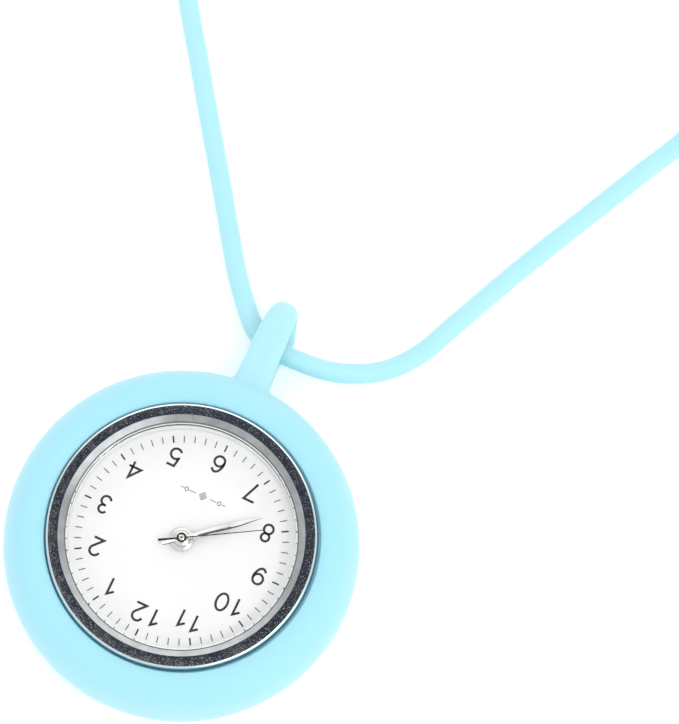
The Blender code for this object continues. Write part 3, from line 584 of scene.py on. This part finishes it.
# centre line of the strap: x, y, z, width and thickness, from the ring's front round to its back
STRAP_LINE = (
    (-0.55, 18.4, 7.95, 5.1, 2.2), (-0.70, 20.4, 7.40, 4.75, 2.2), (-0.88, 23.0, 6.90, 4.4, 2.2),
    (-1.02, 26.0, 6.78, 4.2, 2.2), (-1.12, 29.0, 6.50, 4.1, 2.25), (-1.18, 31.2, 5.65, 3.8, 2.4),
    (-1.20, 32.25, 4.10, 3.35, 2.6), (-1.00, 31.4, 2.50, 3.6, 2.4), (-0.60, 29.2, 1.62, 4.0, 2.2),
    (-0.98, 26.6, 1.35, 3.7, 2.2), (-1.00, 23.0, 1.35, 4.0, 2.2), (-0.85, 20.4, 1.60, 4.5, 2.2),
    (-0.65, 18.6, 2.20, 4.9, 2.2),
)
VOXEL = 0.24
RING_CENTRE_R = 17.9              # where the doughnut's back and front are level
RING_SPREAD = 3.7                 # from there to the widest point
RING_HALF_HEIGHT = 5.5
# at 9 o'clock the lip stands off the bezel, and everywhere it starts a little inside it
LIP_STAND_OFF, LIP_INSIDE = 0.20, 0.02


def strap_rings():
    """Rounded sections along the strap's smooth centre line, from the ring's front to its back."""
    line = smooth_route([spot[:3] for spot in STRAP_LINE], 0.5)
    sizes = smooth_route([(*spot[3:], i) for i, spot in enumerate(STRAP_LINE)], 0.05)
    rings = []
    for i, here in enumerate(line):
        before, after = line[max(i - 1, 0)], line[min(i + 1, len(line) - 1)]
        along = Vector((0, after.y - before.y, after.z - before.z)).normalized()
        out = Vector((0, -along.z, along.y))
        width, thickness, _ = sizes[round(i / (len(line) - 1) * (len(sizes) - 1))]
        # the section turns from a soft rectangle into an oval at the bend
        power = 0.8 + 0.2 * abs(along.z)
        ring = []
        for k in range(28):
            angle = math.tau * k / 28
            across = math.copysign(abs(math.cos(angle)) ** power, math.cos(angle)) * width / 2
            lift = math.copysign(abs(math.sin(angle)) ** power, math.sin(angle)) * thickness / 2
            ring.append(here + Vector((across, 0, 0)) + out * lift)
        rings.append(ring)
    return rings


def cut(body, tool, solver="MANIFOLD"):
    """Subtracts one scratch object from another, and removes the tool."""
    step = body.modifiers.new(tool.name, "BOOLEAN")
    step.object = tool
    step.operation = "DIFFERENCE"
    step.solver = solver
    mesh = evaluated(body)
    bpy.data.objects.remove(tool, do_unlink=True)
    return mesh


def watch_seat():
    """What the watch head takes out of the ring's front, which leaves a crisp lip."""
    profile = rounded([(0, 12.5, 0), (17.30, 12.5, 0), (16.66, 10.74, 0.16), (16.54, 10.40, 0.05),
                       (16.52, 10.00, 0.03), (16.47, 9.92, 0), (16.47, 9.2, 0), (0, 9.2, 0)], closed=False)
    bm = bmesh.new()
    turn(bm, profile, 320, closed=False)
    for vert in bm.verts:
        x, y, z = vert.co / MM
        radius, angle = math.hypot(x, y), math.atan2(y, x) + math.radians(10)
        if z > 9.96 and radius > 1:
            share = ((1 + math.cos(angle)) / 2) ** 2
            grown = 1 + (LIP_STAND_OFF * share - LIP_INSIDE) / radius
            vert.co.x *= grown
            vert.co.y *= grown
    return scratch("watch_seat", finish_mesh(bm, "watch_seat"))


def make_silicone_ring():
    """Ring and loop melted into one soft moulding, then cut crisply where the watch head sits."""
    outer = [(RING_CENTRE_R + RING_SPREAD * math.cos(math.radians(a)),
              RING_HALF_HEIGHT + RING_HALF_HEIGHT * math.sin(math.radians(a)), 0)
             for a in range(114, -91, -6)]
    profile = rounded([(16.1, 9.8, 0.1), *outer, (12.7, 0, 0.15), (12.5, 0.2, 0.1), (12.5, 1.2, 0.1),
                       (16.2, 1.2, 0.1), (17.2, 2.3, 0.1), (17.2, 9.25, 0.1)])
    bm = bmesh.new()
    turn(bm, profile, 240)
    body = scratch("silicone_body", finish_mesh(bm, "silicone_body"))
    bm = bmesh.new()
    turn(bm, [(0, -15), (2.3, -15), (2.3, -20.1), (0, -20.1)], 48, closed=False,
         place=Matrix.Translation((0, 0, 5.35)) @ Matrix.Rotation(math.pi / 2, 4, "Y"))
    pocket = scratch("crown_pocket", finish_mesh(bm, "crown_pocket"))
    whole = bmesh.new()
    whole.from_mesh(cut(body, pocket))
    sweep(whole, strap_rings())
    joined = scratch("silicone_joined", finish_mesh(whole, "silicone_joined"))
    remesh = joined.modifiers.new("melt", "REMESH")
    remesh.mode = "VOXEL"
    remesh.voxel_size = VOXEL * MM
    relax = joined.modifiers.new("relax", "SMOOTH")
    relax.factor = 0.5
    relax.iterations = 7
    melted = scratch("silicone_melted", evaluated(joined))
    mesh = cut(melted, watch_seat())
    mesh.shade_smooth()
    mesh.set_sharp_from_angle(angle=math.radians(40))
    add_piece("silicone_ring", mesh, ["silicone"], nodes=["silicone_case"])


# ---------------------------------------------------------------- bezel, crystal, case back

def make_bezel():
    """Turned bezel in three finishes of one steel: dark flat band, outer edge with a painted highlight, bright
    inner slope dimmed by painted shade.
    """
    profile = rounded([(14.87, 11.37, 0.05), (16.05, 11.13, 0.03), (16.25, 11.00, 0.03), (16.32, 10.80, 0.05),
                       (16.32, 9.80, 0), (16.44, 9.72, 0), (16.44, 9.40, 0.05), (15.3, 9.40, 0),
                       (15.3, 8.70, 0), (14.8, 8.70, 0), (14.8, 9.40, 0),
                       (13.75, 9.40, 0.05), (13.75, 9.65, 0.05), (14.25, 9.65, 0), (14.25, 10.68, 0),
                       (14.09, 10.68, 0.03), (14.09, 10.86, 0.03)])

    def paint(r, z):
        if z > 11.12 and 14.90 < r < 16.04:
            return 0
        return 2 if z > 10.6 and r < 14.9 else 1

    mesh = turned_mesh("bezel_turned", profile, 256, paint=paint, angle=12)
    add_piece("bezel_turned", mesh, ["bezel_steel", "bezel_edge_painted_highlight", "bezel_slope_painted_shade"], nodes=["bezel"])


def make_crystal():
    """Flat pane with a rounded rim, in its gasket."""
    side = rounded([(0, 10.85, 0), (13.78, 10.85, 0.05), (13.95, 10.68, 0.05), (13.95, 9.75, 0.04),
                    (0, 9.75, 0)], 3, closed=False)
    mesh = turned_mesh("crystal_pane", side, 192, closed=False, angle=25)
    add_piece("crystal_pane", mesh, ["mineral_glass"], nodes=["crystal"])
    ring = rounded([(14.0, 10.6, 0.06), (14.2, 10.6, 0.06), (14.2, 9.75, 0.04), (14.0, 9.75, 0.04)], 3)
    add_piece("crystal_seat", turned_mesh("crystal_seat", ring, 192), ["gasket_nylon"],
              nodes=["crystal_gasket"])


def make_case_back():
    """Turned back with two shallow grooves and six notches for the opening key."""
    profile = [(0, 0.9, 0), (11.0, 0.9, 0), (12.3, 2.0, 0), (14.5, 2.0, 0), (14.5, 3.1, 0), (15.0, 3.1, 0),
               (15.0, 2.1, 0), (16.0, 2.1, 0.05), (16.0, 1.3, 0.05), (12.3, 1.3, 0), (12.1, 1.1, 0.05),
               (12.1, 0.15, 0.04), (11.95, 0, 0.04), (10.9, 0, 0.04), (10.75, 0.10, 0.03), (10.45, 0.10, 0.03),
               (10.3, 0, 0.04), (7.4, 0, 0.03), (7.3, 0.06, 0.02), (7.1, 0.06, 0.02), (7.0, 0, 0.03), (0, 0, 0)]
    body = scratch("back_body", turned_mesh("back_body", rounded(profile, 2, closed=False), 160, closed=False))
    bm = bmesh.new()
    for i in range(6):
        made = bmesh.ops.create_cube(bm, size=1)["verts"]
        bmesh.ops.scale(bm, verts=made, vec=(0.9 * MM, 2.2 * MM, 0.9 * MM))
        bmesh.ops.translate(bm, verts=made, vec=(11.85 * MM, 0, 0.02 * MM))
        bmesh.ops.rotate(bm, verts=made, matrix=Matrix.Rotation(math.tau * (i + 0.5) / 6, 3, "Z"))
    mesh = cut(body, scratch("back_notches", finish_mesh(bm, "back_notches")), "EXACT")
    add_piece("case_back_turned", mesh, ["case_steel"], nodes=["case_back"])


# ---------------------------------------------------------------- dial

DIAL_TOP = 7.9
INK = 0.02
NUMERAL_R = 10.2
NUMERAL_HEIGHT = 2.4
STROKE = 0.117                    # of the numeral's height
# where the printed pairs stray from the even circle, and how far their figures stand apart
PLACING = {10: ((-0.33, 0.35), 0.80), 11: ((-0.11, 0.16), 0.71), 12: ((0.17, 0.14), 0.84)}


def arc(x, y, rx, ry, start, end, count=24):
    return [(x + rx * math.cos(math.radians(start + (end - start) * i / count)),
             y + ry * math.sin(math.radians(start + (end - start) * i / count))) for i in range(count + 1)]


def loop(x, y, rx, ry):
    """A closed round: its last point repeats the first."""
    return arc(x, y, rx, ry, 0, 360, 40)


def flat_route(points, step=0.05):
    return [(p.x, p.y) for p in smooth_route([(x, y, 0) for x, y in points], step)]


SIX_TAIL = flat_route([(-0.262, 0.32), (-0.258, 0.47), (-0.205, 0.66), (-0.11, 0.82), (0.02, 0.895),
                       (0.15, 0.865), (0.24, 0.755)])
# strokes of each figure: centre lines in units of its height, x from its middle
FIGURES = {
    "0": [loop(0, 0.5, 0.285, 0.442)],
    "1": [[(-0.225, 0.62), (0.07, 0.85), (0.07, 0.0)]],
    "2": [[*arc(0.0, 0.685, 0.255, 0.255, 170, -38), (-0.235, 0.058), (0.29, 0.058)]],
    "3": [[(-0.10, 0.535), *arc(-0.01, 0.74, 0.205, 0.205, -90, 160)],
          [(-0.10, 0.535), *arc(-0.01, 0.297, 0.24, 0.238, 90, -162)]],
    "4": [[(0.12, 0.0), (0.12, 0.86), (-0.34, 0.285), (0.31, 0.285)]],
    "5": [[(0.25, 0.942), (-0.15, 0.942), (-0.215, 0.50), *arc(0.0, 0.325, 0.27, 0.268, 138, -148)]],
    "6": [loop(0, 0.32, 0.262, 0.262), SIX_TAIL],
    "7": [[(-0.29, 0.942), (0.26, 0.942), (-0.12, 0.0)]],
    "8": [loop(0, 0.735, 0.205, 0.205), loop(0, 0.297, 0.24, 0.24)],
    "9": [loop(0, 0.68, 0.262, 0.262), [(-x, 1 - y) for x, y in SIX_TAIL]],
}


def ribbon(bm, points, width, low=DIAL_TOP, high=DIAL_TOP + INK):
    """A printed stroke with mitred corners, a solid INK thick."""
    spots = [Vector(p) for p in points]
    closed = (spots[0] - spots[-1]).length < 1e-6
    if closed:
        spots.pop()
    count = len(spots)
    sections = []
    for i, here in enumerate(spots):
        before = spots[i - 1] if closed or i else None
        after = spots[(i + 1) % count] if closed or i < count - 1 else None
        into = (here - before).normalized() if before else (after - here).normalized()
        out = (after - here).normalized() if after else into
        side = Vector((-into.y - out.y, into.x + out.x)).normalized()
        reach = width / 2 / max(side.dot(Vector((-into.y, into.x))), 0.3)
        left, right = here + side * reach, here - side * reach
        sections.append([bm.verts.new((p.x * MM, p.y * MM, z * MM))
                         for p, z in ((left, low), (right, low), (right, high), (left, high))])
    pairs = list(zip(sections, sections[1:] + sections[:1]))
    for section, following in pairs if closed else pairs[:-1]:
        for k in range(4):
            n = (k + 1) % 4
            bm.faces.new((section[k], section[n], following[n], following[k]))
    if not closed:
        bm.faces.new(sections[0][::-1])
        bm.faces.new(sections[-1])


def clock_direction(minute):
    """Unit vector from the centre towards a minute mark; 12 o'clock is at -Y, 9 at +X."""
    angle = math.radians(90 - (minute - 30) * 6)
    return Vector((math.cos(angle), math.sin(angle)))


def make_printing():
    bm = bmesh.new()
    for hour in range(1, 13):
        moved, spacing = PLACING.get(hour, ((0, 0), 0))
        centre = clock_direction(hour * 5) * NUMERAL_R + Vector(moved)
        figures = str(hour)
        for i, figure in enumerate(figures):
            across = (i - (len(figures) - 1) / 2) * spacing
            for stroke in FIGURES[figure]:
                placed = [(centre.x - (x + across) * NUMERAL_HEIGHT, centre.y - (y - 0.5) * NUMERAL_HEIGHT)
                          for x, y in stroke]
                ribbon(bm, placed, STROKE * NUMERAL_HEIGHT)
    for hour in range(12):
        out = clock_direction(hour * 5)
        ribbon(bm, [out * 11.93, out * 12.79], 0.185)
    add_piece("dial_figures", finish_mesh(bm, "dial_figures", 60), ["dial_ink"])
    bm = bmesh.new()
    for minute in range(60):
        if minute % 5:
            out = clock_direction(minute)
            ribbon(bm, [out * 11.95, out * 12.78], 0.115)
    add_piece("dial_minute_track", finish_mesh(bm, "dial_minute_track", 60), ["dial_ink_fine"])
    make_ornament()


def make_ornament():
    """A plain line ornament below the centre: lozenges between fine rules."""
    bm = bmesh.new()
    y = 5.9
    for side in (-1, 1):
        ribbon(bm, [(side * 0.95, y), (side * 1.75, y)], 0.09)
        ribbon(bm, [(side * 2.55, y), (side * 2.95, y)], 0.09)
        ribbon(bm, lozenge(side * 2.15, y, 0.26, 0.30), 0.085)
    ribbon(bm, lozenge(0, y, 0.42, 0.48), 0.10)
    ribbon(bm, lozenge(0, y, 0.14, 0.16), 0.10)
    add_piece("dial_ornament", finish_mesh(bm, "dial_ornament", 60), ["dial_ink_pale"])


def lozenge(x, y, half_width, half_height):
    return [(x + half_width, y), (x, y + half_height), (x - half_width, y), (x, y - half_height),
            (x + half_width, y)]


def make_dial_ring():
    profile = rounded([(13.75, 9.2, 0.06), (14.6, 9.2, 0.03), (14.6, 8.0, 0.03), (13.6, 8.0, 0.03)], 3)
    add_piece("dial_spacer", turned_mesh("dial_spacer", profile, 192), ["holder_plastic"],
              nodes=["dial_ring"])
    disc = rounded([(1.05, 7.9, 0.03), (14.5, 7.9, 0.03), (14.5, 7.5, 0.03), (1.05, 7.5, 0.03)], 2)
    add_piece("dial_plate", turned_mesh("dial_plate", disc, 192), ["dial_white"], nodes=["dial"])


# ---------------------------------------------------------------- hands

SECOND_ANGLE = 30.7
MINUTE_ANGLE = 39.9
HOUR_ANGLE = 90 - 30 * (7 + (38 + 39 / 60) / 60 - 6)


def ridged_blade(bm, stations, low, high, place):
    """A blade along +X with two slopes meeting on a ridge, and a flat along one edge.

    Stations are (distance, half width, share of the half width that the flat takes).
    """
    rings = []
    for x, half, share in stations:
        edge = max(high - 0.45 * half, low + 0.02)
        section = [(x, half, low), (x, -half, low), (x, -half, edge), (x, (share - 1) * half, edge + 0.004),
                   (x, max(0.05, share - 0.8) * half, high), (x, half, edge)]
        rings.append([place @ Vector(p) for p in section])
    sweep(bm, rings)


def boss(bm, bore, rim, low, top, edge):
    """A hand's boss, coned down from its bore to its rim."""
    turn(bm, rounded([(bore, top, 0.02), (rim, edge, 0.02), (rim, low, 0.02), (bore, low, 0.02)], 3), 64)


def smooth_stations(stations, step=0.4):
    return [tuple(p) for p in smooth_route(stations, step)]


def make_hands():
    spin = Matrix.Rotation(math.radians(HOUR_ANGLE), 4, "Z")
    bm = bmesh.new()
    ridged_blade(bm, smooth_stations([(1.0, 0.28, 0.3), (2.2, 0.35, 0.4), (4.2, 0.42, 0.4), (5.4, 0.26, 0.4),
                                      (6.4, 0.06, 0.4)]),
                 8.28, 8.46, spin)
    boss(bm, 0.91, 1.38, 8.28, 8.52, 8.32)
    add_piece("hour_hand_blade", finish_mesh(bm, "hour_hand_blade", 12), ["hand_steel"],
              "hours", ["hour_hand"])

    spin = Matrix.Rotation(math.radians(MINUTE_ANGLE), 4, "Z")
    bm = bmesh.new()
    ridged_blade(bm, smooth_stations([(0.6, 0.22, 0.1), (1.6, 0.25, 0.3), (2.4, 0.27, 0.85), (4.2, 0.30, 0.85),
                                      (6.6, 0.34, 0.5), (8.4, 0.2, 0.5), (10.0, 0.05, 0.5)]), 8.70, 8.84, spin)
    ridged_blade(bm, [(-2.4, 0.20, 0.4), (-2.3, 0.23, 0.4), (-0.6, 0.25, 0.5)], 8.70, 8.84, spin)
    boss(bm, 0.47, 0.93, 8.70, 8.96, 8.74)
    add_piece("minute_hand_blade", finish_mesh(bm, "minute_hand_blade", 12), ["hand_steel"], "minutes",
              ["minute_hand"])

    spin = Matrix.Rotation(math.radians(SECOND_ANGLE), 4, "Z")
    bm = bmesh.new()
    sweep(bm, [[spin @ Vector(p) for p in ((x, half, 9.15), (x, -half, 9.15), (x, -half, 9.22),
                                           (x, -half * 0.6, 9.24), (x, half * 0.6, 9.24), (x, half, 9.22))]
               for x, half in ((-2.85, 0.15), (-1.6, 0.12), (-0.5, 0.10), (0.5, 0.08), (5.0, 0.065), (9.9, 0.045))])
    # a rim and a cap over the arbor's end in the darkened steel, a painted dark reflection, round a bright dished
    # middle
    hub = rounded([(0, 9.47, 0), (0.10, 9.46, 0.02), (0.12, 9.42, 0), (0.36, 9.31, 0.02), (0.40, 9.40, 0.02),
                   (0.61, 9.39, 0.04), (0.61, 9.14, 0.03), (0.34, 9.14, 0.02), (0.34, 9.0, 0.02), (0.13, 9.0, 0.02),
                   (0.13, 9.43, 0), (0, 9.43, 0)], 3, closed=False)
    turn(bm, hub, 64, closed=False, paint=lambda r, z: 1 if 0.12 < r < 0.38 and z > 9.25 else 0)
    add_piece("second_hand_blade", finish_mesh(bm, "second_hand_blade", 25), ["hand_dark", "hand_steel"],
              "seconds", ["second_hand"])


# ---------------------------------------------------------------- studio

OVERHEAD_FROM, OVERHEAD_TO = 0.70, 1.46            # strength of the white world, below and above
# what polished surfaces see instead: its base strength, a dark ceiling and two brighter windows, each
# with a direction and its outer and inner half angle, and a window's extra strength
REFLECTED_STRENGTH = 0.74
DARK_CEILING = ((-0.08, 0.245, 0.966), 40, 30)
WINDOWS = (((0.79, -0.28, 0.54), 34, 12, 0.80), ((-0.25, 0.95, 0.17), 58, 25, 0.55))


def make_world():
    """White all round and brighter overhead, with a dark ceiling that only polished surfaces see."""
    world = bpy.data.worlds.new("studio")
    bpy.context.scene.world = world
    world.use_nodes = True
    nodes, links = world.node_tree.nodes, world.node_tree.links
    ground = nodes["Background"]
    ground.inputs["Color"].default_value = (1.0, 1.0, 1.0, 1.0)
    place = nodes.new("ShaderNodeTexCoord")
    height = nodes.new("ShaderNodeSeparateXYZ")
    links.new(place.outputs["Generated"], height.inputs[0])
    overhead = nodes.new("ShaderNodeMapRange")
    overhead.inputs["To Min"].default_value = OVERHEAD_FROM
    overhead.inputs["To Max"].default_value = OVERHEAD_TO
    links.new(height.outputs["Z"], overhead.inputs["Value"])
    links.new(overhead.outputs["Result"], ground.inputs["Strength"])
    ceiling = nodes.new("ShaderNodeBackground")
    facing = nodes.new("ShaderNodeVectorMath")
    facing.operation = "DOT_PRODUCT"
    facing.inputs[1].default_value = Vector(DARK_CEILING[0]).normalized()
    links.new(place.outputs["Generated"], facing.inputs[0])
    fade = nodes.new("ShaderNodeMapRange")
    fade.inputs["From Min"].default_value = math.cos(math.radians(DARK_CEILING[1]))
    fade.inputs["From Max"].default_value = math.cos(math.radians(DARK_CEILING[2]))
    links.new(facing.outputs["Value"], fade.inputs["Value"])
    shade = nodes.new("ShaderNodeMix")
    shade.data_type = "RGBA"
    shade.inputs[6].default_value = (1.0, 1.0, 1.0, 1.0)
    shade.inputs[7].default_value = (0.048, 0.064, 0.088, 1.0)
    links.new(fade.outputs["Result"], shade.inputs["Factor"])
    links.new(shade.outputs[2], ceiling.inputs["Color"])
    strength = None
    for direction, wide, narrow, extra in WINDOWS:
        toward = nodes.new("ShaderNodeVectorMath")
        toward.operation = "DOT_PRODUCT"
        toward.inputs[1].default_value = Vector(direction).normalized()
        links.new(place.outputs["Generated"], toward.inputs[0])
        glow = nodes.new("ShaderNodeMapRange")
        glow.inputs["From Min"].default_value = math.cos(math.radians(wide))
        glow.inputs["From Max"].default_value = math.cos(math.radians(narrow))
        glow.inputs["To Max"].default_value = extra
        links.new(toward.outputs["Value"], glow.inputs["Value"])
        total = nodes.new("ShaderNodeMath")
        links.new(glow.outputs["Result"], total.inputs[0])
        if strength:
            links.new(strength, total.inputs[1])
        else:
            total.inputs[1].default_value = REFLECTED_STRENGTH
        strength = total.outputs[0]
    links.new(strength, ceiling.inputs["Strength"])
    path = nodes.new("ShaderNodeLightPath")
    mix = nodes.new("ShaderNodeMixShader")
    links.new(path.outputs["Is Glossy Ray"], mix.inputs[0])
    links.new(ground.outputs[0], mix.inputs[1])
    links.new(ceiling.outputs[0], mix.inputs[2])
    links.new(mix.outputs[0], nodes["World Output"].inputs["Surface"])


def add_softbox(name, position, size, power):
    """Round area light aimed at the dial, which reflections don't show."""
    data = bpy.data.lights.new(name, "AREA")
    data.shape = "DISK"
    data.size = size
    data.energy = power
    light = bpy.data.objects.new(name, data)
    light.location = position
    light.rotation_euler = (Vector(position) - Vector((0, 0.02, 0))).to_track_quat("Z", "Y").to_euler()
    light.visible_glossy = False
    bpy.context.scene.collection.objects.link(light)


def make_studio():
    """World, one soft light and a plain white floor."""
    make_world()
    add_softbox("key", (0.543, -0.089, 0.757), 0.22, 1.4)
    bm = bmesh.new()
    bmesh.ops.create_grid(bm, x_segments=8, y_segments=8, size=2.0)
    floor = scratch("floor", finish_mesh(bm, "floor"))
    floor.data.materials.append(LOOKS["floor_white"])
    bpy.context.scene.view_settings.view_transform = "Standard"


# ---------------------------------------------------------------- assembly


dress_frame()
add_camera()
neck_cord, cord_length = make_cord()
joiner_sleeve = make_joiner()
tie_strap = make_tie()
make_silicone_ring()
make_bezel()
make_crystal()
make_case_back()
make_dial_ring()
make_printing()
make_hands()
make_studio()
